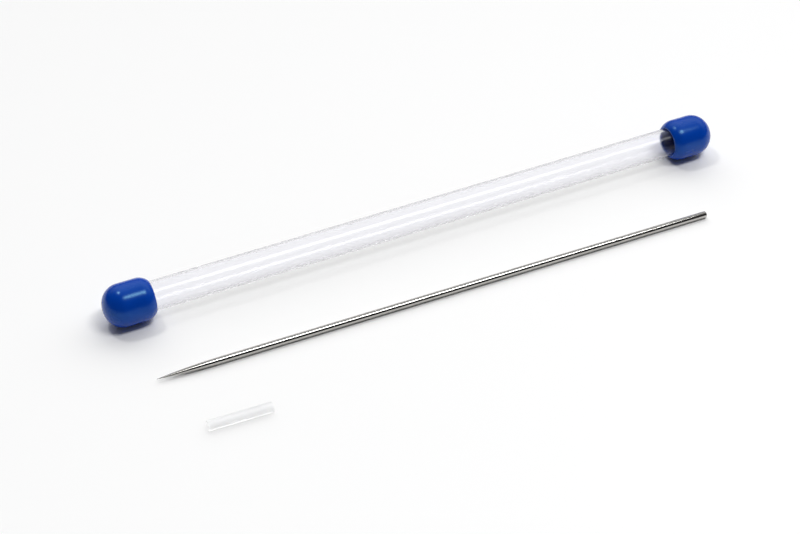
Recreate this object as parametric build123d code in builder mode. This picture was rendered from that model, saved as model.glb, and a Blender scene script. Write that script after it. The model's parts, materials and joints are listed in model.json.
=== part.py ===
"""Airbrush needle set, laid out on a flat surface.

A slender steel needle, the clear storage tube it is sold in, the two soft vinyl caps that
close the tube, and the short clear sleeve that guards the needle's point. The tube lies along
X with a cap on each end and rests on the two caps. The needle lies in front of it with its
point towards -X, and the guard lies in front of the needle's point.

Millimetres. +X runs along the tube, +Z is up, and the origin is the middle of the whole
set's footprint, on the surface that it lies on.
"""

import os
from math import asin, cos, radians, sin

from build123d import *

os.makedirs("parts", exist_ok=True)

# ---------------------------------------------------------------- driving dimensions

# needle
needle_diameter = 1.4
needle_length = 119.0      # point to blunt end
taper_length = 13.0        # ground point, a long curve that runs out into the shank
point_diameter = 0.06      # what the grinding leaves at the very point
butt_chamfer = 0.2

# tip guard, a sleeve that pushes over the needle's point
guard_length = 12.5
guard_wall = 0.25
guard_clearance = 0.05     # radial, over the needle's shank
guard_edge = 0.04          # rounding of the cut ends

# storage tube
tube_diameter = 6.0
tube_wall = 0.5
end_room = 10.9            # length of tube left over beyond the needle
tube_edge = 0.1            # rounding of the cut ends

# caps
cap_clearance = 0.02       # radial, over the tube
cap_grip = 6.95            # length of tube inside each cap
cap_seat = 0.1             # between the tube's end and the rounding it meets
bore_corner = 1.5          # rounding at the bottom of the cap's bore
end_wall = 1.3
belly_wall = 1.3           # along the straight belly
nose_radius = 6.0          # the closed end's flatter middle
shoulder_inset = 0.42      # how much tighter than the belly the shoulder is rounded
lip_reach = 2.25           # length over which the cap draws in to its mouth
lip_wall = 0.3             # at the mouth
lip_round = 0.12           # outer rounding of the mouth's edge
lip_inner_round = 0.08     # inner rounding of the mouth's edge

# layout on the surface
needle_gap = 15.44         # caps' front edge to the needle's axis, at the needle's middle
needle_shift = -4.72       # needle's middle from the tube's middle, along the tube
needle_turn = -1.0         # degrees about +Z
guard_gap = 15.24          # needle's axis to the guard's axis, middle to middle
guard_shift = 10.12        # guard's middle from the needle's point, along the tube
guard_turn = -2.4          # degrees about +Z

# ---------------------------------------------------------------- sizes that follow

needle_radius = needle_diameter / 2
guard_bore_radius = needle_radius + guard_clearance
guard_radius = guard_bore_radius + guard_wall

tube_radius = tube_diameter / 2
tube_length = needle_length + end_room

cap_bore_radius = tube_radius + cap_clearance
belly_radius = cap_bore_radius + belly_wall
mouth_radius = cap_bore_radius + lip_wall
shoulder_radius = belly_radius - shoulder_inset
cap_length = end_wall + bore_corner + cap_seat + cap_grip
lip_corner = min(lip_round, lip_wall - lip_inner_round)

# how far the turned guard reaches in front of its own middle
guard_reach = (
    guard_length / 2 * abs(sin(radians(guard_turn))) + guard_radius * cos(radians(guard_turn))
)
set_depth = 2 * belly_radius + needle_gap + guard_gap + guard_reach

tube_y = set_depth / 2 - belly_radius
needle_y = tube_y - belly_radius - needle_gap
guard_y = needle_y - guard_gap
guard_x = needle_shift - needle_length / 2 * cos(radians(needle_turn)) + guard_shift
closed_end_x = tube_length / 2 - cap_grip + cap_length


def lying_plane(x, y, height, turn):
    """Plane whose X runs along a piece that lies turned about +Z, and whose Y lies flat."""
    along = (cos(radians(turn)), sin(radians(turn)), 0)
    return Plane(origin=(x, y, height), x_dir=along, z_dir=(0, 0, 1))


def axis_of(plane):
    """The line through a plane's origin along its X."""
    return Axis(origin=plane.origin, direction=plane.x_dir)


# ---------------------------------------------------------------- storage tube

tube_plane = lying_plane(0, tube_y, belly_radius, 0)

with BuildPart() as storage_tube:
    with BuildSketch(tube_plane):
        with Locations((0, tube_radius - tube_wall / 2)):
            Rectangle(tube_length, tube_wall)
    revolve(axis=axis_of(tube_plane))
    cut_ends = storage_tube.edges().filter_by(GeomType.CIRCLE)
    fillet(cut_ends, radius=min(tube_edge, tube_wall / 3))

storage_tube.part.label = "storage_tube"
export_step(storage_tube.part, "parts/storage_tube.step")

# ---------------------------------------------------------------- caps


def cap_outline():
    """Half section of a cap from its axis outwards, closed end at 0 and mouth towards +X."""
    spread = asin(shoulder_inset / (nose_radius - shoulder_radius))
    nose_edge = (nose_radius * (1 - cos(spread)), nose_radius * sin(spread))
    shoulder_x = nose_radius - (nose_radius - shoulder_radius) * cos(spread)
    belly_start = (shoulder_x, belly_radius)
    belly_end = (cap_length - lip_reach, belly_radius)
    outer_lip = (cap_length, mouth_radius)
    inner_lip = (cap_length, cap_bore_radius)
    bore_end = (end_wall + bore_corner, cap_bore_radius)
    floor_edge = (end_wall, cap_bore_radius - bore_corner)
    with BuildLine() as outline:
        Line((end_wall, 0), (0, 0))
        RadiusArc((0, 0), nose_edge, nose_radius)
        RadiusArc(nose_edge, belly_start, shoulder_radius)
        Line(belly_start, belly_end)
        TangentArc(belly_end, outer_lip, tangent=(1, 0))
        Line(outer_lip, inner_lip)
        Line(inner_lip, bore_end)
        RadiusArc(bore_end, floor_edge, -bore_corner)
        Line(floor_edge, (end_wall, 0))
    return outline.line


def make_cap(plane):
    """One cap as a turned solid, its closed end at the plane's origin and its mouth along X."""
    with BuildPart() as cap:
        with BuildSketch(plane) as section:
            with BuildLine():
                add(cap_outline())
            make_face()
            mouth = section.vertices().group_by(Axis.X)[-1].sort_by(Axis.Y)
            fillet(mouth[-1], radius=lip_corner)
            inner_lip = section.vertices().group_by(Axis.X)[-1].sort_by(Axis.Y)[0]
            fillet(inner_lip, radius=lip_inner_round)
        revolve(axis=axis_of(plane))
    return cap


left_cap = make_cap(lying_plane(-closed_end_x, tube_y, belly_radius, 0))
left_cap.part.label = "left_cap"
export_step(left_cap.part, "parts/left_cap.step")

right_cap = make_cap(lying_plane(closed_end_x, tube_y, belly_radius, 180))
right_cap.part.label = "right_cap"
export_step(right_cap.part, "parts/right_cap.step")

# ---------------------------------------------------------------- needle

needle_plane = lying_plane(needle_shift, needle_y, needle_radius, needle_turn)
point_x = -needle_length / 2
butt_x = needle_length / 2

with BuildPart() as needle:
    with BuildSketch(needle_plane):
        with BuildLine():
            Line((point_x, 0), (point_x, point_diameter / 2))
            TangentArc(
                (point_x + taper_length, needle_radius),
                (point_x, point_diameter / 2),
                tangent=(-1, 0),
            )
            Polyline(
                (point_x + taper_length, needle_radius),
                (butt_x - butt_chamfer, needle_radius),
                (butt_x, needle_radius - butt_chamfer),
                (butt_x, 0),
                (point_x, 0),
            )
        make_face()
    revolve(axis=axis_of(needle_plane))

needle.part.label = "needle"
export_step(needle.part, "parts/needle.step")

# ---------------------------------------------------------------- tip guard

guard_plane = lying_plane(guard_x, guard_y, guard_radius, guard_turn)

with BuildPart() as tip_guard:
    with BuildSketch(guard_plane):
        with Locations((0, guard_radius - guard_wall / 2)):
            Rectangle(guard_length, guard_wall)
    revolve(axis=axis_of(guard_plane))
    guard_ends = tip_guard.edges().filter_by(GeomType.CIRCLE)
    fillet(guard_ends, radius=min(guard_edge, guard_wall / 3))

tip_guard.part.label = "tip_guard"
export_step(tip_guard.part, "parts/tip_guard.step")
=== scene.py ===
"""Airbrush needle set on a pale table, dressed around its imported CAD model.

The set is a ground steel needle, the clear storage tube it is kept in, the two blue vinyl
caps that close the tube, and the short clear sleeve that guards the needle's point. Every
length here is in metres unless its name ends in _mm, in the frame of the CAD model: +X runs
along the tube towards the right cap, +Y from the needle towards the tube, +Z is up.
"""

from __future__ import annotations

import json
import logging
import math
from dataclasses import dataclass
from enum import Enum

import bmesh
import bpy
from mathutils import Matrix, Vector


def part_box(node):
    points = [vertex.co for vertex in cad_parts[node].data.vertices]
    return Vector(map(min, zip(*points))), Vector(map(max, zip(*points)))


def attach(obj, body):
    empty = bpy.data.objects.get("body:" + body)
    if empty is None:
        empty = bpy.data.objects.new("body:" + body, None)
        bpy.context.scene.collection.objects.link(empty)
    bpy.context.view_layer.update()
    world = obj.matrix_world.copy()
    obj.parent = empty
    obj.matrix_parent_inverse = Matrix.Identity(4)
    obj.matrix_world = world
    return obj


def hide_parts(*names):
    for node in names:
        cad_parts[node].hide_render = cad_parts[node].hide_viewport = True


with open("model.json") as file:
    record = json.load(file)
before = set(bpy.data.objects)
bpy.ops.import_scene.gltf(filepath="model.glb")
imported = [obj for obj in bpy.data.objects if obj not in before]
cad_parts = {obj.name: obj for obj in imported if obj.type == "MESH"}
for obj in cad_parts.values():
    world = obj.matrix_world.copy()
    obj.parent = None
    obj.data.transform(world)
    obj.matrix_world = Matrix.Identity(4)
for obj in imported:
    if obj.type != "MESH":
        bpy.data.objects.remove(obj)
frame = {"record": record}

LOG = logging.getLogger("airbrush_needle_set")

MM = 0.001

SAME_POINT = 1e-7        # points nearer to each other than this are one point
RING_SLACK_ALONG = 1e-6  # how far along X a vertex may be from the ring that it belongs to
RING_SLACK_OUT = 1e-5    # and how far outwards

Colour = tuple[float, float, float]
Outline = list[tuple[float, float]]
Socket = bpy.types.NodeSocket


# ------------------------------------------------------------------ small helpers


def arc(
    centre: tuple[float, float], radius: float, start: float, end: float, count: int
) -> Outline:
    """Points on a round corner of a half outline.

    Args:
        centre: The corner's centre, as how far along and how far out.
        radius: The corner's radius.
        start: The first point's direction in degrees, 0 along the axis and 90 outwards.
        end: The last point's direction in degrees.
        count: How many points the corner has, its two ends among them.

    Returns:
        The points, in order.
    """
    turn = [math.radians(start + (end - start) * i / (count - 1)) for i in range(count)]
    return [(centre[0] + radius * math.cos(t), centre[1] + radius * math.sin(t)) for t in turn]


def run(start: tuple[float, float], end: tuple[float, float], count: int) -> Outline:
    """Evenly spaced points on a straight stretch of a half outline.

    Args:
        start: The stretch's first point.
        end: The stretch's last point.
        count: How many points the stretch has, its two ends among them.

    Returns:
        The points, in order.
    """
    steps = [i / (count - 1) for i in range(count)]
    return [
        (start[0] + (end[0] - start[0]) * s, start[1] + (end[1] - start[1]) * s) for s in steps
    ]


def drawn_in(reach: float, drop: float) -> tuple[float, float]:
    """The arc that leaves a straight stretch smoothly and draws in towards the axis.

    Args:
        reach: How far along the arc goes.
        drop: How far it draws in over that length.

    Returns:
        The arc's radius, and the degrees that it turns through.
    """
    radius = (reach**2 + drop**2) / (2 * drop)
    return radius, math.degrees(math.asin(reach / radius))


def without_repeats(outline: Outline) -> Outline:
    """Leaves out the points of an outline that stand on the one before them.

    Args:
        outline: The outline's points.

    Returns:
        The points that are left, in order.
    """
    kept = outline[:1]
    for point in outline[1:]:
        if math.dist(point, kept[-1]) > SAME_POINT:
            kept.append(point)
    return kept


def mount(name: str) -> dict:
    """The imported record's mount of that name."""
    return next(m for m in frame["record"]["mounts"] if m["name"] == name)


@dataclass(frozen=True)
class Seat:
    """Where a turned piece lies: the place of its own origin, and the way its axis points."""

    origin: Vector
    along: Vector

    def matrix(self) -> Matrix:
        """The placement that takes a piece made about X at the origin to this seat."""
        turn = math.atan2(self.along.y, self.along.x)
        return Matrix.Translation(self.origin) @ Matrix.Rotation(turn, 4, "Z")


# ------------------------------------------------------------------ modelling


@dataclass(frozen=True)
class Lathe:
    """Makes round pieces with edit-mode operators, about X, and puts them in place.

    Attributes:
        steps: How many facets a full turn has.
        edge_facets: How many facets a rounded edge has.
        sharp_angle: Corners sharper than this, in degrees, aren't shaded smooth.
    """

    steps: int = 160
    edge_facets: int = 3
    sharp_angle: float = 35.0

    @staticmethod
    def pick(piece: bpy.types.Object) -> None:
        """Selects one piece alone and makes it the active one.

        Args:
            piece: The piece.
        """
        bpy.ops.object.select_all(action="DESELECT")
        piece.select_set(True)
        bpy.context.view_layer.objects.active = piece

    def turn(self, name: str, outline: Outline) -> bpy.types.Object:
        """Draws a half outline by extruding one vertex, then spins it once round X.

        Args:
            name: The new piece's name.
            outline: The half outline's points, each how far along and how far out.

        Returns:
            The piece, closed and with its faces pointing outwards.
        """
        points = without_repeats(outline)
        bpy.ops.object.select_all(action="DESELECT")
        bpy.ops.mesh.primitive_plane_add(size=MM, location=(0.0, 0.0, 0.0))
        piece = bpy.context.object
        piece.name = name
        piece.data.name = name
        bpy.ops.object.mode_set(mode="EDIT")
        bpy.ops.mesh.select_mode(type="VERT")
        bpy.ops.mesh.select_all(action="SELECT")
        bpy.ops.mesh.merge(type="CENTER")
        bpy.ops.transform.translate(value=(points[0][0], 0.0, points[0][1]))
        for here, there in zip(points, points[1:]):
            step = (there[0] - here[0], 0.0, there[1] - here[1])
            bpy.ops.mesh.extrude_region_move(TRANSFORM_OT_translate={"value": step})
        bpy.ops.mesh.select_all(action="SELECT")
        bpy.ops.mesh.spin(
            steps=self.steps, angle=math.tau, center=(0.0, 0.0, 0.0), axis=(1.0, 0.0, 0.0)
        )
        bpy.ops.mesh.select_all(action="SELECT")
        bpy.ops.mesh.remove_doubles(threshold=SAME_POINT)
        bpy.ops.mesh.normals_make_consistent(inside=False)
        bpy.ops.object.mode_set(mode="OBJECT")
        return piece

    def turn_pipe(
        self, name: str, half: float, radii: tuple[float, float], rings: int, edge: float
    ) -> bpy.types.Object:
        """Turns a pipe that is open at both ends, with its four cut edges rounded.

        Args:
            name: The new piece's name.
            half: Half the pipe's length.
            radii: The radius of its bore and that of its outside.
            rings: How many rings of vertices each side of the wall has.
            edge: How far the rounding reaches from each cut edge.

        Returns:
            The pipe, about X at the origin.
        """
        inner, outer = radii
        outline = run((-half, outer), (half, outer), rings)
        outline += run((half, inner), (-half, inner), rings)
        outline += [(-half, outer)]
        pipe = self.turn(name, outline)
        for along in (-half, half):
            for out in (outer, inner):
                self.round_ring(pipe, along, out, edge)
        return pipe

    @staticmethod
    def on_ring(vertex: bmesh.types.BMVert, along: float, out: float) -> bool:
        """Whether a vertex belongs to the ring at a place on X with a radius."""
        radius = math.hypot(vertex.co.y, vertex.co.z)
        return abs(vertex.co.x - along) < RING_SLACK_ALONG and abs(radius - out) < RING_SLACK_OUT

    def round_ring(
        self, piece: bpy.types.Object, along: float, out: float, offset: float
    ) -> None:
        """Rounds one sharp ring of a turned piece with the bevel operator.

        Args:
            piece: The turned piece, still about X at the origin.
            along: Where on X the ring stands.
            out: The ring's radius.
            offset: How far the rounding reaches from the corner.
        """
        self.pick(piece)
        bpy.ops.object.mode_set(mode="EDIT")
        bpy.ops.mesh.select_mode(type="EDGE")
        bpy.ops.mesh.select_all(action="DESELECT")
        mesh = bmesh.from_edit_mesh(piece.data)
        for edge in mesh.edges:
            edge.select_set(all(self.on_ring(vertex, along, out) for vertex in edge.verts))
        bmesh.update_edit_mesh(piece.data)
        bpy.ops.mesh.bevel(
            offset=offset, segments=self.edge_facets, profile=0.5, clamp_overlap=True
        )
        bpy.ops.object.mode_set(mode="OBJECT")

    def lay(self, piece: bpy.types.Object, seat: Seat) -> None:
        """Moves a piece to its seat, puts that place into its mesh and shades it smooth.

        Args:
            piece: The piece, made about X at the origin.
            seat: Where it lies.
        """
        self.pick(piece)
        piece.matrix_world = seat.matrix()
        bpy.ops.object.transform_apply(location=True, rotation=True, scale=True)
        bpy.ops.object.shade_smooth_by_angle(angle=math.radians(self.sharp_angle))


# ------------------------------------------------------------------ materials


@dataclass(frozen=True)
class NodeSheet:
    """A node tree with short ways to add nodes and join their sockets."""

    tree: bpy.types.NodeTree

    def add(self, kind: str, **settings: object) -> bpy.types.Node:
        """Adds a node and sets its properties.

        Args:
            kind: The node's type name.
            settings: Properties of the node by name.

        Returns:
            The node.
        """
        node = self.tree.nodes.new(kind)
        for name, value in settings.items():
            setattr(node, name, value)
        return node

    def join(self, source: Socket, target: Socket) -> None:
        """Links one socket to another."""
        self.tree.links.new(source, target)

    def remap(
        self, value: Socket, low: float, high: float, start: float = 0.0, end: float = 1.0
    ) -> Socket:
        """Stretches a value from one range to another.

        Args:
            value: The socket that gives the value.
            low: What start becomes.
            high: What end becomes.
            start: The low end of the range that comes in.
            end: The high end of the range that comes in.

        Returns:
            The socket with the new value.
        """
        node = self.add("ShaderNodeMapRange", clamp=True)
        ends = {"From Min": start, "From Max": end, "To Min": low, "To Max": high}
        for name, number in ends.items():
            node.inputs[name].default_value = number
        self.join(value, node.inputs["Value"])
        return node.outputs["Result"]

    def reckon(self, operation: str, first: Socket, second: Socket) -> Socket:
        """Makes one value of two.

        Args:
            operation: What the Math node does with them.
            first: The socket that gives the first value.
            second: The socket that gives the second value.

        Returns:
            The socket with the outcome.
        """
        node = self.add("ShaderNodeMath", operation=operation)
        self.join(first, node.inputs[0])
        self.join(second, node.inputs[1])
        return node.outputs["Value"]

    def noise(self, place: Socket, detail: float) -> bpy.types.Node:
        """Adds a noise texture.

        Args:
            place: The coordinates it reads.
            detail: How many finer layers it has.

        Returns:
            The texture's node, its scale not set yet.
        """
        node = self.add("ShaderNodeTexNoise")
        node.inputs["Detail"].default_value = detail
        self.join(place, node.inputs["Vector"])
        return node

    def mix_colours(self, amount: Socket, first: Colour, second: Colour) -> Socket:
        """Mixes two colours by a mask.

        Args:
            amount: The mask, 0 for the first colour and 1 for the second.
            first: The first colour.
            second: The second colour.

        Returns:
            The socket with the mixed colour.
        """
        node = self.add("ShaderNodeMix", data_type="RGBA")
        node.inputs["A"].default_value = (*first, 1.0)
        node.inputs["B"].default_value = (*second, 1.0)
        self.join(amount, node.inputs["Factor"])
        return node.outputs["Result"]

    def mix_shaders(self, amount: Socket, first: Socket, second: Socket) -> Socket:
        """Mixes two shaders by a value.

        Args:
            amount: The value, 0 for the first shader and 1 for the second.
            first: The first shader's socket.
            second: The second shader's socket.

        Returns:
            The socket with the mixed shader.
        """
        node = self.add("ShaderNodeMixShader")
        self.join(amount, node.inputs["Fac"])
        self.join(first, node.inputs[1])
        self.join(second, node.inputs[2])
        return node.outputs["Shader"]

    def effect(
        self, tree: bpy.types.NodeTree, place: Socket, values: dict[str, float]
    ) -> bpy.types.NodeOutputs:
        """Places a shared group with its own values.

        Args:
            tree: The shared group.
            place: The coordinates it reads.
            values: Its inputs by name.

        Returns:
            The group's outputs.
        """
        node = self.add("ShaderNodeGroup", node_tree=tree)
        self.join(place, node.inputs["Vector"])
        for name, value in values.items():
            node.inputs[name].default_value = value
        return node.outputs

    def bump(self, height: Socket, distance: float) -> Socket:
        """Adds a normal that a height pushes about.

        Args:
            height: The height, from 0 to 1.
            distance: What a height of 1 stands for.

        Returns:
            The normal.
        """
        node = self.add("ShaderNodeBump")
        node.inputs["Distance"].default_value = distance
        self.join(height, node.inputs["Height"])
        return node.outputs["Normal"]


class SharedEffects:
    """Shader node groups that several finishes place with their own values.

    Attributes:
        ACROSS: How many times a metre the hairlines change across X, unless a finish says.
        ALONG: How many times a metre they change along X, unless a finish says.
        FINE_DETAIL: How many finer layers the lines' height has.
        PATCH_SCALE: How large the worn patches are, against the lines.
        PATCH_DETAIL: How many finer layers the patches have.
        PATCH_RANGE: The noise values that count as not worn and as fully worn.
        CLOUD: How many times a metre the mottle changes, unless a finish says.
        CLOUD_DETAIL: How many finer layers the mottle has.
    """

    ACROSS: float = 9000.0
    ALONG: float = 60.0
    FINE_DETAIL: float = 3.0
    PATCH_SCALE: float = 0.23
    PATCH_DETAIL: float = 1.0
    PATCH_RANGE: tuple[float, float] = (0.35, 0.7)
    CLOUD: float = 400.0
    CLOUD_DETAIL: float = 4.0

    def __init__(self) -> None:
        """Builds every group once."""
        self.hairlines = self._hairlines()
        self.mottle = self._mottle()

    @staticmethod
    def _group(name: str, inputs: dict[str, float], outputs: list[str]) -> NodeSheet:
        """Makes an empty group that reads coordinates and numbers and gives numbers.

        Args:
            name: The group's name.
            inputs: Each number's default, by name.
            outputs: The outputs' names.

        Returns:
            The group's sheet, with its Group Input and Group Output nodes in it.
        """
        tree = bpy.data.node_groups.new(name, "ShaderNodeTree")
        tree.interface.new_socket("Vector", in_out="INPUT", socket_type="NodeSocketVector")
        for label, default in inputs.items():
            number = tree.interface.new_socket(
                label, in_out="INPUT", socket_type="NodeSocketFloat"
            )
            number.default_value = default
        for label in outputs:
            tree.interface.new_socket(label, in_out="OUTPUT", socket_type="NodeSocketFloat")
        sheet = NodeSheet(tree)
        sheet.add("NodeGroupInput")
        sheet.add("NodeGroupOutput")
        return sheet

    def _hairlines(self) -> bpy.types.NodeTree:
        """Fine lines that run along X: one value for how worn, one for how high.

        Returns:
            The group.
        """
        sheet = self._group(
            "hairlines", {"Across": self.ACROSS, "Along": self.ALONG}, ["Wear", "Height"]
        )
        inside = sheet.tree.nodes["Group Input"].outputs
        outside = sheet.tree.nodes["Group Output"].inputs
        stretch = sheet.add("ShaderNodeCombineXYZ")
        for axis, name in (("X", "Along"), ("Y", "Across"), ("Z", "Across")):
            sheet.join(inside[name], stretch.inputs[axis])
        scaled = sheet.add("ShaderNodeVectorMath", operation="MULTIPLY")
        sheet.join(inside["Vector"], scaled.inputs[0])
        sheet.join(stretch.outputs["Vector"], scaled.inputs[1])
        fine = sheet.noise(scaled.outputs["Vector"], self.FINE_DETAIL)
        fine.inputs["Scale"].default_value = 1.0
        patches = sheet.noise(scaled.outputs["Vector"], self.PATCH_DETAIL)
        patches.inputs["Scale"].default_value = self.PATCH_SCALE
        wear = sheet.remap(patches.outputs["Fac"], 0.0, 1.0, *self.PATCH_RANGE)
        sheet.join(wear, outside["Wear"])
        sheet.join(fine.outputs["Fac"], outside["Height"])
        return sheet.tree

    def _mottle(self) -> bpy.types.NodeTree:
        """Soft cloudy unevenness, as moulded and extruded plastic has.

        Returns:
            The group.
        """
        sheet = self._group("mottle", {"Cloud Scale": self.CLOUD}, ["Cloud"])
        inside = sheet.tree.nodes["Group Input"].outputs
        outside = sheet.tree.nodes["Group Output"].inputs
        cloud = sheet.noise(inside["Vector"], self.CLOUD_DETAIL)
        sheet.join(inside["Cloud Scale"], cloud.inputs["Scale"])
        sheet.join(cloud.outputs["Fac"], outside["Cloud"])
        return sheet.tree


class Finish:
    """The start of every finish: a material with its Principled shader and its coordinates."""

    slot: str = ""
    label: str = ""

    def material(self, shared: SharedEffects) -> bpy.types.Material:
        """Builds the finish's material.

        Args:
            shared: The node groups that finishes share.

        Returns:
            The material.
        """
        made = bpy.data.materials.new(self.label)
        made.use_nodes = True
        made.node_tree.nodes.clear()
        sheet = NodeSheet(made.node_tree)
        shader = sheet.add("ShaderNodeBsdfPrincipled")
        output = sheet.add("ShaderNodeOutputMaterial")
        place = sheet.add("ShaderNodeTexCoord").outputs["Object"]
        surface = self.dress(sheet, shader, place, shared)
        sheet.join(surface, output.inputs["Surface"])
        return made

    def dress(
        self, sheet: NodeSheet, shader: bpy.types.Node, place: Socket, shared: SharedEffects
    ) -> Socket:
        """Feeds the shader and gives the surface's socket. Each finish has its own."""
        raise NotImplementedError


@dataclass(frozen=True)
class VinylFinish(Finish):
    """Blue dip-moulded vinyl: glossy, soft-edged highlights, a faint orange peel.

    Attributes:
        slot: The record's material slot.
        label: The material's name.
        deep: The blue where the mottle is low.
        light: The blue where the mottle is high.
        roughness: The roughness where the surface is not worn and where it is.
        specular: How strong the gloss is.
        gloss_tint: The gloss's colour, short of red.
        peel_mm: How deep the orange peel is.
        cloud_scale: How many times a metre the mottle changes.
        patch_scales: How many times a metre the worn patches change across and along X.
    """

    slot: str = "blue_vinyl"
    label: str = "dipped_blue_vinyl"
    deep: Colour = (0.0, 0.040, 0.34)
    light: Colour = (0.0, 0.050, 0.40)
    roughness: tuple[float, float] = (0.21, 0.28)
    specular: float = 0.42
    gloss_tint: Colour = (0.42, 0.9, 1.0)
    peel_mm: float = 0.004
    cloud_scale: float = 350.0
    patch_scales: tuple[float, float] = (1500.0, 500.0)

    def dress(
        self, sheet: NodeSheet, shader: bpy.types.Node, place: Socket, shared: SharedEffects
    ) -> Socket:
        """Blue that varies a little, with a soft gloss over a faint orange peel.

        Args:
            sheet: The material's node sheet.
            shader: Its Principled shader.
            place: The piece's Object coordinates.
            shared: The node groups that finishes share.

        Returns:
            The socket that the material's surface takes.
        """
        across, along = self.patch_scales
        cloud = sheet.effect(shared.mottle, place, {"Cloud Scale": self.cloud_scale})["Cloud"]
        lines = sheet.effect(shared.hairlines, place, {"Across": across, "Along": along})
        tint = sheet.mix_colours(cloud, self.deep, self.light)
        sheet.join(tint, shader.inputs["Base Color"])
        polish = sheet.remap(lines["Wear"], *self.roughness)
        sheet.join(polish, shader.inputs["Roughness"])
        sheet.join(sheet.bump(cloud, self.peel_mm * MM), shader.inputs["Normal"])
        shader.inputs["Specular IOR Level"].default_value = self.specular
        shader.inputs["Specular Tint"].default_value = (*self.gloss_tint, 1.0)
        return shader.outputs["BSDF"]


@dataclass(frozen=True)
class SteelFinish(Finish):
    """Ground and polished steel: fine lines along the shank.

    Attributes:
        slot: The record's material slot.
        label: The material's name.
        bright: The steel's colour where it is not worn.
        dull: Its colour where it is worn.
        roughness: Its roughness where it is not worn and where it is.
        line_mm: How deep the lines are.
        line_scales: How many times a metre they change across and along the needle.
        turn: The turn about +Z, in radians, that brings the needle's axis onto X.
    """

    slot: str = "steel"
    label: str = "ground_steel"
    bright: Colour = (0.52, 0.51, 0.49)
    dull: Colour = (0.44, 0.43, 0.41)
    roughness: tuple[float, float] = (0.13, 0.20)
    line_mm: float = 0.0006
    line_scales: tuple[float, float] = (14000.0, 160.0)
    turn: float = 0.0

    def dress(
        self, sheet: NodeSheet, shader: bpy.types.Node, place: Socket, shared: SharedEffects
    ) -> Socket:
        """Steel whose polish and tone change from line to line.

        Args:
            sheet: The material's node sheet.
            shader: Its Principled shader.
            place: The piece's Object coordinates.
            shared: The node groups that finishes share.

        Returns:
            The socket that the material's surface takes.
        """
        across, along = self.line_scales
        straight = sheet.add("ShaderNodeMapping")
        straight.inputs["Rotation"].default_value = (0.0, 0.0, self.turn)
        sheet.join(place, straight.inputs["Vector"])
        lines = sheet.effect(
            shared.hairlines, straight.outputs["Vector"], {"Across": across, "Along": along}
        )
        tint = sheet.mix_colours(lines["Wear"], self.bright, self.dull)
        sheet.join(tint, shader.inputs["Base Color"])
        polish = sheet.remap(lines["Wear"], *self.roughness)
        sheet.join(polish, shader.inputs["Roughness"])
        sheet.join(sheet.bump(lines["Height"], self.line_mm * MM), shader.inputs["Normal"])
        shader.inputs["Metallic"].default_value = 1.0
        return shader.outputs["BSDF"]


@dataclass(frozen=True)
class ClearFinish(Finish):
    """Clear hard plastic, as the storage tube is extruded from.

    Attributes:
        slot: The record's material slot.
        label: The material's name.
        tint: The colour of the light that comes through.
        haze: The roughness where the mottle is low and where it is high.
        ior: The index of refraction, lower than a real plastic's for softer edges.
        die_line_mm: How deep the die lines are.
        die_line_scales: How many times a metre they change across and along X.
        cloud_scale: How many times a metre the mottle changes.
        shade_face: How much lamp light passes a wall that it meets square on.
        shade_edge: How much passes a wall that it only grazes.
        edge_width: How wide the dimmer band at the piece's edges is.
    """

    slot: str = "clear_tube"
    label: str = "clear_extrusion"
    tint: Colour = (0.955, 0.955, 0.975)
    haze: tuple[float, float] = (0.18, 0.25)
    ior: float = 1.25
    die_line_mm: float = 0.0005
    die_line_scales: tuple[float, float] = (2600.0, 25.0)
    cloud_scale: float = 300.0
    shade_face: float = 0.98
    shade_edge: float = 0.68
    edge_width: float = 0.25

    def dress(
        self, sheet: NodeSheet, shader: bpy.types.Node, place: Socket, shared: SharedEffects
    ) -> Socket:
        """Clear plastic with die lines along it, which lamps shine through.

        Args:
            sheet: The material's node sheet.
            shader: Its Principled shader.
            place: The piece's Object coordinates.
            shared: The node groups that finishes share.

        Returns:
            The socket that the material's surface takes.
        """
        across, along = self.die_line_scales
        lines = sheet.effect(shared.hairlines, place, {"Across": across, "Along": along})
        mottle = sheet.effect(shared.mottle, place, {"Cloud Scale": self.cloud_scale})
        shader.inputs["Base Color"].default_value = (*self.tint, 1.0)
        shader.inputs["IOR"].default_value = self.ior
        shader.inputs["Transmission Weight"].default_value = 1.0
        sheet.join(sheet.remap(mottle["Cloud"], *self.haze), shader.inputs["Roughness"])
        sheet.join(sheet.bump(lines["Height"], self.die_line_mm * MM), shader.inputs["Normal"])
        rays = sheet.add("ShaderNodeLightPath").outputs
        lighting = sheet.reckon("MAXIMUM", rays["Is Shadow Ray"], rays["Is Diffuse Ray"])
        return sheet.mix_shaders(lighting, shader.outputs["BSDF"], self._filter(sheet))

    def _filter(self, sheet: NodeSheet) -> Socket:
        """What lamp light meets instead of glass: a filter that is darker at the edges.

        Args:
            sheet: The material's node sheet.

        Returns:
            The filter's shader socket.
        """
        facing = sheet.add("ShaderNodeLayerWeight")
        facing.inputs["Blend"].default_value = self.edge_width
        through = sheet.mix_colours(
            facing.outputs["Facing"], (self.shade_face,) * 3, (self.shade_edge,) * 3
        )
        passing = sheet.add("ShaderNodeBsdfTransparent")
        sheet.join(through, passing.inputs["Color"])
        return passing.outputs["BSDF"]


@dataclass(frozen=True)
class SleeveFinish(ClearFinish):
    """Clear soft tubing, as the tip guard is cut from: hazier than the storage tube."""

    slot: str = "clear_sleeve"
    label: str = "soft_clear_sleeve"
    tint: Colour = (0.945, 0.947, 0.95)
    haze: tuple[float, float] = (0.42, 0.55)
    ior: float = 1.3
    shade_face: float = 0.96
    shade_edge: float = 0.7


# ------------------------------------------------------------------ the pieces


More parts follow.
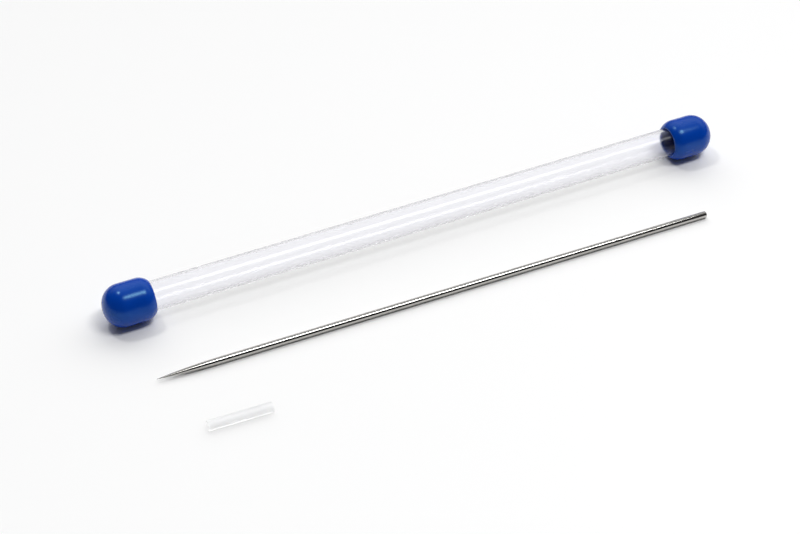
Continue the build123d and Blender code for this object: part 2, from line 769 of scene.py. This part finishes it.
class CapEnd(Enum):
    """The two ends of the tube, each with its cap's node and the way its mouth points."""

    LEFT = ("left_cap", 1.0)
    RIGHT = ("right_cap", -1.0)

    @property
    def node(self) -> str:
        """The CAD node, which is also the body's name."""
        return self.value[0]

    @property
    def mouth_way(self) -> float:
        """1 where the mouth points along +X, and -1 where it points along -X."""
        return self.value[1]


class Piece:
    """One physical piece of the set: its mesh, its finish and the body it rides on."""

    node: str = ""
    body: str = ""

    def build(self, lathe: Lathe) -> bpy.types.Object:
        """Models the piece in place. Each piece has its own."""
        raise NotImplementedError

    def install(self, lathe: Lathe, finish: Finish, material: bpy.types.Material) -> None:
        """Builds the piece, dresses it and ties it to its CAD node and body.

        Args:
            lathe: What turns round shapes.
            finish: The finish, which names the record's slot.
            material: The finish's material.
        """
        piece = self.build(lathe)
        piece.data.materials.clear()
        piece.data.materials.append(material)
        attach(piece, self.body)
        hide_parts(self.node)
        LOG.info("%s: %d faces, finish %s", piece.name, len(piece.data.polygons), finish.slot)


@dataclass
class VinylCap(Piece):
    """A domed vinyl cap, straight along its belly and drawn in to a thin-edged mouth.

    Attributes:
        end: The end of the tube that the cap closes.
        nose_radius_mm: The radius of the closed end's flatter middle.
        shoulder_inset_mm: How much tighter than the belly the shoulder is rounded.
        lip_reach_mm: The length over which the cap draws in to its mouth.
        mouth_radius_mm: The outside radius at the mouth.
        bore_radius_mm: The radius of the bore.
        end_wall_mm: How thick the closed end is.
        bore_corner_mm: The rounding at the bottom of the bore.
        lip_mm: The outer rounding of the mouth's edge.
        inner_lip_mm: The inner rounding of the mouth's edge.
        nose_rings: How many rings of vertices the nose has.
        shoulder_rings: How many the shoulder has.
        belly_rings: How many the belly has.
        lip_rings: How many the stretch that draws in has.
        bore_rings: How many the bore has.
        corner_rings: How many the bore's corner has.
    """

    end: CapEnd
    nose_radius_mm: float = 6.0
    shoulder_inset_mm: float = 0.42
    lip_reach_mm: float = 2.25
    mouth_radius_mm: float = 3.32
    bore_radius_mm: float = 3.02
    end_wall_mm: float = 1.3
    bore_corner_mm: float = 1.5
    lip_mm: float = 0.12
    inner_lip_mm: float = 0.08
    nose_rings: int = 7
    shoulder_rings: int = 23
    belly_rings: int = 7
    lip_rings: int = 13
    bore_rings: int = 9
    corner_rings: int = 9

    def __post_init__(self) -> None:
        """Names the node and body that this end's cap stands for."""
        self.node = self.end.node
        self.body = self.end.node

    def outline(self, length: float, belly: float) -> Outline:
        """The half outline, from the dome's pole at 0 round to the middle of the bore's bottom."""
        return self._outside(length, belly) + self._inside(length)

    def _outside(self, length: float, belly: float) -> Outline:
        """The half outline's outer part, from the dome's pole to the mouth.

        Args:
            length: The cap's length.
            belly: The radius of its widest ring.

        Returns:
            The points, in order.
        """
        nose, inset = self.nose_radius_mm * MM, self.shoulder_inset_mm * MM
        shoulder = belly - inset
        spread = math.asin(inset / (nose - shoulder))
        shoulder_at = nose - (nose - shoulder) * math.cos(spread)
        nose_end = 180 - math.degrees(spread)
        belly_end = length - self.lip_reach_mm * MM
        sweep, lean = drawn_in(self.lip_reach_mm * MM, belly - self.mouth_radius_mm * MM)
        points = arc((nose, 0.0), nose, 180, nose_end, self.nose_rings)
        points += arc((shoulder_at, inset), shoulder, nose_end, 90, self.shoulder_rings)
        points += run((shoulder_at, belly), (belly_end, belly), self.belly_rings)
        points += arc((belly_end, belly - sweep), sweep, 90, 90 - lean, self.lip_rings)
        points += [(length, self.mouth_radius_mm * MM)]
        return points

    def _inside(self, length: float) -> Outline:
        """The half outline's inner part, from the mouth to the middle of the bore's bottom.

        Args:
            length: The cap's length.

        Returns:
            The points, in order.
        """
        bore, corner = self.bore_radius_mm * MM, self.bore_corner_mm * MM
        bottom = self.end_wall_mm * MM
        corner_at = bottom + corner
        points = run((length, bore), (corner_at, bore), self.bore_rings)
        points += arc((corner_at, bore - corner), corner, 90, 180, self.corner_rings)
        points += [(bottom, 0.0)]
        return points

    def build(self, lathe: Lathe) -> bpy.types.Object:
        """Spins the cap, rounds its lip and lays it on its end of the tube.

        Args:
            lathe: What turns round shapes.

        Returns:
            The cap.
        """
        low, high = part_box(self.node)
        length, belly = high.x - low.x, (high.z - low.z) / 2
        cap = lathe.turn(self.node + "_shell", self.outline(length, belly))
        lathe.round_ring(cap, length, self.mouth_radius_mm * MM, self.lip_mm * MM)
        lathe.round_ring(cap, length, self.bore_radius_mm * MM, self.inner_lip_mm * MM)
        closed_end = low.x if self.end is CapEnd.LEFT else high.x
        start = Vector((closed_end, (low.y + high.y) / 2, (low.z + high.z) / 2))
        lathe.lay(cap, Seat(start, Vector((self.end.mouth_way, 0.0, 0.0))))
        return cap


@dataclass
class StorageTube(Piece):
    """The clear tube, a plain extrusion open at both ends.

    Attributes:
        wall_mm: How thick the wall is.
        edge_mm: The rounding of the cut ends.
        rings: How many rings of vertices each side of the wall has.
        node: The CAD node.
        body: The body it rides on.
    """

    wall_mm: float = 0.5
    edge_mm: float = 0.1
    rings: int = 53
    node: str = "storage_tube"
    body: str = "tube"

    def build(self, lathe: Lathe) -> bpy.types.Object:
        """Turns the tube and lays it between the caps.

        Args:
            lathe: What turns round shapes.

        Returns:
            The tube.
        """
        low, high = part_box(self.node)
        half, outer = (high.x - low.x) / 2, (high.z - low.z) / 2
        radii = (outer - self.wall_mm * MM, outer)
        tube = lathe.turn_pipe("clear_tube", half, radii, self.rings, self.edge_mm * MM)
        lathe.lay(tube, Seat((low + high) / 2, Vector((1.0, 0.0, 0.0))))
        return tube


@dataclass
class Needle(Piece):
    """The steel needle: a long curved point, a straight shank and a small chamfer behind.

    Attributes:
        length_mm: The needle's length, from its point to its blunt end.
        taper_mm: The length of the ground point.
        point_radius_mm: What the grinding leaves at the very point.
        chamfer_mm: The chamfer at the blunt end.
        taper_rings: How many rings of vertices the ground point has.
        shank_rings: How many the shank has.
        node: The CAD node.
        body: The body it rides on.
    """

    length_mm: float = 119.0
    taper_mm: float = 13.0
    point_radius_mm: float = 0.03
    chamfer_mm: float = 0.2
    taper_rings: int = 25
    shank_rings: int = 40
    node: str = "needle"
    body: str = "needle"

    def build(self, lathe: Lathe) -> bpy.types.Object:
        """Spins the needle's outline and lays it in front of the tube.

        Args:
            lathe: What turns round shapes.

        Returns:
            The needle.
        """
        shank = mount("needle_shank")
        radius = shank["dims"]["r_mm"] * MM
        along = Vector(shank["axis"]).normalized()
        half = self.length_mm * MM / 2
        taper, chamfer = self.taper_mm * MM, self.chamfer_mm * MM
        shoulder, shank_end = -half + taper, half - chamfer
        sweep, lean = drawn_in(taper, radius - self.point_radius_mm * MM)
        outline = [(-half, 0.0)]
        outline += arc((shoulder, radius - sweep), sweep, 90 + lean, 90, self.taper_rings)
        outline += run((shoulder, radius), (shank_end, radius), self.shank_rings)
        outline += [(half, radius - chamfer), (half, 0.0)]
        needle = lathe.turn("steel_needle", outline)
        lathe.round_ring(needle, shank_end, radius, chamfer / 2)
        lathe.round_ring(needle, half, radius - chamfer, chamfer / 2)
        half_shank = shank["dims"]["length_mm"] * MM / 2
        blunt_end = Vector(shank["pos_m"]) + along * (half_shank + chamfer)
        lathe.lay(needle, Seat(blunt_end - along * half, along))
        return needle


@dataclass
class TipGuard(Piece):
    """The short clear sleeve, cut from soft tubing.

    Attributes:
        wall_mm: How thick the wall is.
        edge_mm: The rounding of the cut ends.
        rings: How many rings of vertices each side of the wall has.
        node: The CAD node.
        body: The body it rides on.
    """

    wall_mm: float = 0.25
    edge_mm: float = 0.04
    rings: int = 11
    node: str = "tip_guard"
    body: str = "guard"

    def build(self, lathe: Lathe) -> bpy.types.Object:
        """Turns the sleeve and lays it in front of the needle's point.

        Args:
            lathe: What turns round shapes.

        Returns:
            The guard.
        """
        bore = mount("guard_bore")
        inner = bore["dims"]["r_mm"] * MM
        half = bore["dims"]["length_mm"] * MM / 2
        radii = (inner, inner + self.wall_mm * MM)
        guard = lathe.turn_pipe("clear_guard", half, radii, self.rings, self.edge_mm * MM)
        lathe.lay(guard, Seat(Vector(bore["pos_m"]), -Vector(bore["axis"]).normalized()))
        return guard


# ------------------------------------------------------------------ the studio


@dataclass(frozen=True)
class SoftBox:
    """A rectangular lamp, aimed at a point on the table.

    Attributes:
        name: The lamp's name.
        place: Where its middle is.
        aim: The point that it shines at.
        size: Its width and its depth.
        power: Its power in watts.
    """

    name: str
    place: tuple[float, float, float]
    aim: tuple[float, float, float]
    size: tuple[float, float]
    power: float

    def make(self) -> None:
        """Adds the lamp."""
        lamp = bpy.data.lights.new(self.name, "AREA")
        lamp.shape = "RECTANGLE"
        lamp.size, lamp.size_y = self.size
        lamp.energy = self.power
        holder = bpy.data.objects.new(self.name, lamp)
        bpy.context.scene.collection.objects.link(holder)
        holder.location = self.place
        towards = Vector(self.aim) - Vector(self.place)
        holder.rotation_euler = towards.to_track_quat("-Z", "Y").to_euler()


@dataclass(frozen=True)
class Studio:
    """The pale floor, the soft lamps, the room and the camera.

    Attributes:
        floor_size: How wide the floor is.
        floor_drop: How far below the set it lies.
        floor_tone: How pale it is.
        floor_roughness: Its roughness.
        floor_gloss: How strong its gloss is.
        room_glow: How bright the room is away from its wall.
        wall_glow: How bright the wall's middle is.
        wall_gloss: What part of that brightness reflections show.
        wall_colour: The colour of the wall and the room.
        wall_way: The way to the wall's middle.
        wall_reach: The cosine to that way where its glow begins, and that where it is full.
        wall_foot: The sine of the height where its glow begins, and that where it is full.
        past_set: The colour seen past the floor, and through the clear pieces.
        view_azimuth: The camera's place round the set in degrees, 0 in front, less to the left.
        view_elevation: Its height over the table in degrees.
        view_distance: How far it is from what it aims at.
        view_lens: Its focal length in millimetres.
        view_sensor: Its sensor's width in millimetres.
        view_clip: The nearest and the farthest that it shows.
        view_aim: The point that it aims at.
        lamps: The soft boxes.
    """

    floor_size: float = 6.0
    floor_drop: float = 0.00002
    floor_tone: float = 0.885
    floor_roughness: float = 0.85
    floor_gloss: float = 0.1
    room_glow: float = 0.07
    wall_glow: float = 2.5
    wall_gloss: float = 0.3
    wall_colour: Colour = (1.0, 1.0, 1.0)
    wall_way: tuple[float, float, float] = (0.62, 0.78, 0.0)
    wall_reach: tuple[float, float] = (0.15, 0.65)
    wall_foot: tuple[float, float] = (0.20, 0.50)
    past_set: Colour = (0.97, 0.97, 0.975)
    view_azimuth: float = -25.79
    view_elevation: float = 39.47
    view_distance: float = 0.3944
    view_lens: float = 89.07
    view_sensor: float = 36.0
    view_clip: tuple[float, float] = (0.01, 20.0)
    view_aim: tuple[float, float, float] = (-0.00883, 0.00789, 0.0)
    lamps: tuple[SoftBox, ...] = (
        SoftBox("key_box", (0.29, -0.245, 0.90), (0.29, -0.245, 0.0), (0.38, 0.20), 3.9),
        SoftBox("key_strip", (0.02, -0.245, 0.90), (0.02, -0.245, 0.0), (0.14, 0.24), 0.5),
        SoftBox("back_box", (-0.18, 0.37, 0.9), (-0.06, 0.015, 0.0), (0.09, 0.09), 1.6),
    )

    def floor(self) -> None:
        """A pale floor that the set lies on, a hair lower so that the two never meet."""
        bpy.ops.object.select_all(action="DESELECT")
        bpy.ops.mesh.primitive_plane_add(size=self.floor_size, location=(0, 0, -self.floor_drop))
        floor = bpy.context.object
        floor.name = "floor"
        paint = bpy.data.materials.new("floor_paint")
        paint.use_nodes = True
        shader = paint.node_tree.nodes["Principled BSDF"]
        shader.inputs["Base Color"].default_value = (*(self.floor_tone,) * 3, 1.0)
        shader.inputs["Roughness"].default_value = self.floor_roughness
        shader.inputs["Specular IOR Level"].default_value = self.floor_gloss
        floor.data.materials.append(paint)

    def room(self) -> None:
        """A dim room with a pale wall behind the set, and pale where the camera sees past it."""
        world = bpy.data.worlds.new("room")
        bpy.context.scene.world = world
        world.use_nodes = True
        world.node_tree.nodes.clear()
        sheet = NodeSheet(world.node_tree)
        rays = sheet.add("ShaderNodeLightPath").outputs
        lit = sheet.add("ShaderNodeBackground")
        lit.inputs["Color"].default_value = (*self.wall_colour, 1.0)
        held_back = sheet.remap(rays["Is Glossy Ray"], 1.0, self.wall_gloss)
        strength = sheet.reckon("MULTIPLY", self._glow(sheet), held_back)
        sheet.join(strength, lit.inputs["Strength"])
        pale = sheet.add("ShaderNodeBackground")
        pale.inputs["Color"].default_value = (*self.past_set, 1.0)
        seen = sheet.reckon("MAXIMUM", rays["Is Camera Ray"], rays["Is Transmission Ray"])
        around = sheet.mix_shaders(seen, lit.outputs["Background"], pale.outputs["Background"])
        sheet.join(around, sheet.add("ShaderNodeOutputWorld").inputs["Surface"])

    def _glow(self, sheet: NodeSheet) -> Socket:
        """How bright the room is each way: dim, and brighter towards its wall.

        Args:
            sheet: The world's node sheet.

        Returns:
            The socket with the brightness.
        """
        around = sheet.add("ShaderNodeTexCoord").outputs["Generated"]
        parts = sheet.add("ShaderNodeSeparateXYZ")
        sheet.join(around, parts.inputs["Vector"])
        facing = sheet.add("ShaderNodeVectorMath", operation="DOT_PRODUCT")
        facing.inputs[1].default_value = self.wall_way
        sheet.join(around, facing.inputs[0])
        behind = sheet.remap(facing.outputs["Value"], 0.0, 1.0, *self.wall_reach)
        above = sheet.remap(parts.outputs["Z"], 0.0, 1.0, *self.wall_foot)
        wall = sheet.reckon("MULTIPLY", behind, above)
        return sheet.remap(wall, self.room_glow, self.wall_glow)

    def camera(self) -> None:
        """The camera, in front of the set to its left and well above it."""
        lens = bpy.data.cameras.new("camera")
        lens.lens = self.view_lens
        lens.sensor_width = self.view_sensor
        lens.clip_start, lens.clip_end = self.view_clip
        holder = bpy.data.objects.new("camera", lens)
        bpy.context.scene.collection.objects.link(holder)
        turn, rise = math.radians(self.view_azimuth), math.radians(self.view_elevation)
        back = Vector(
            (math.sin(turn) * math.cos(rise), -math.cos(turn) * math.cos(rise), math.sin(rise))
        )
        holder.location = Vector(self.view_aim) + back * self.view_distance
        holder.rotation_euler = (-back).to_track_quat("-Z", "Y").to_euler()
        bpy.context.scene.camera = holder

    def build(self) -> None:
        """Puts up the camera, the floor, the lamps and the room."""
        self.camera()
        self.floor()
        for lamp in self.lamps:
            lamp.make()
        self.room()
        settings = bpy.context.scene.view_settings
        settings.view_transform = "Standard"
        settings.look = "None"
        LOG.info("studio: %d soft boxes", len(self.lamps))


def main() -> None:
    """Builds the studio and every piece."""
    logging.basicConfig(level=logging.INFO, format="%(name)s: %(message)s")
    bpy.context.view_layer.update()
    Studio().build()
    shared = SharedEffects()
    lathe = Lathe()
    needle_way = mount("needle_shank")["axis"]
    vinyl = VinylFinish()
    steel = SteelFinish(turn=-math.atan2(needle_way[1], needle_way[0]))
    clear = ClearFinish()
    sleeve = SleeveFinish()
    materials = {finish.slot: finish.material(shared) for finish in (vinyl, steel, clear, sleeve)}
    jobs = [
        (VinylCap(CapEnd.LEFT), vinyl),
        (VinylCap(CapEnd.RIGHT), vinyl),
        (StorageTube(), clear),
        (Needle(), steel),
        (TipGuard(), sleeve),
    ]
    for piece, finish in jobs:
        piece.install(lathe, finish, materials[finish.slot])


if __name__ == "__main__":
    main()
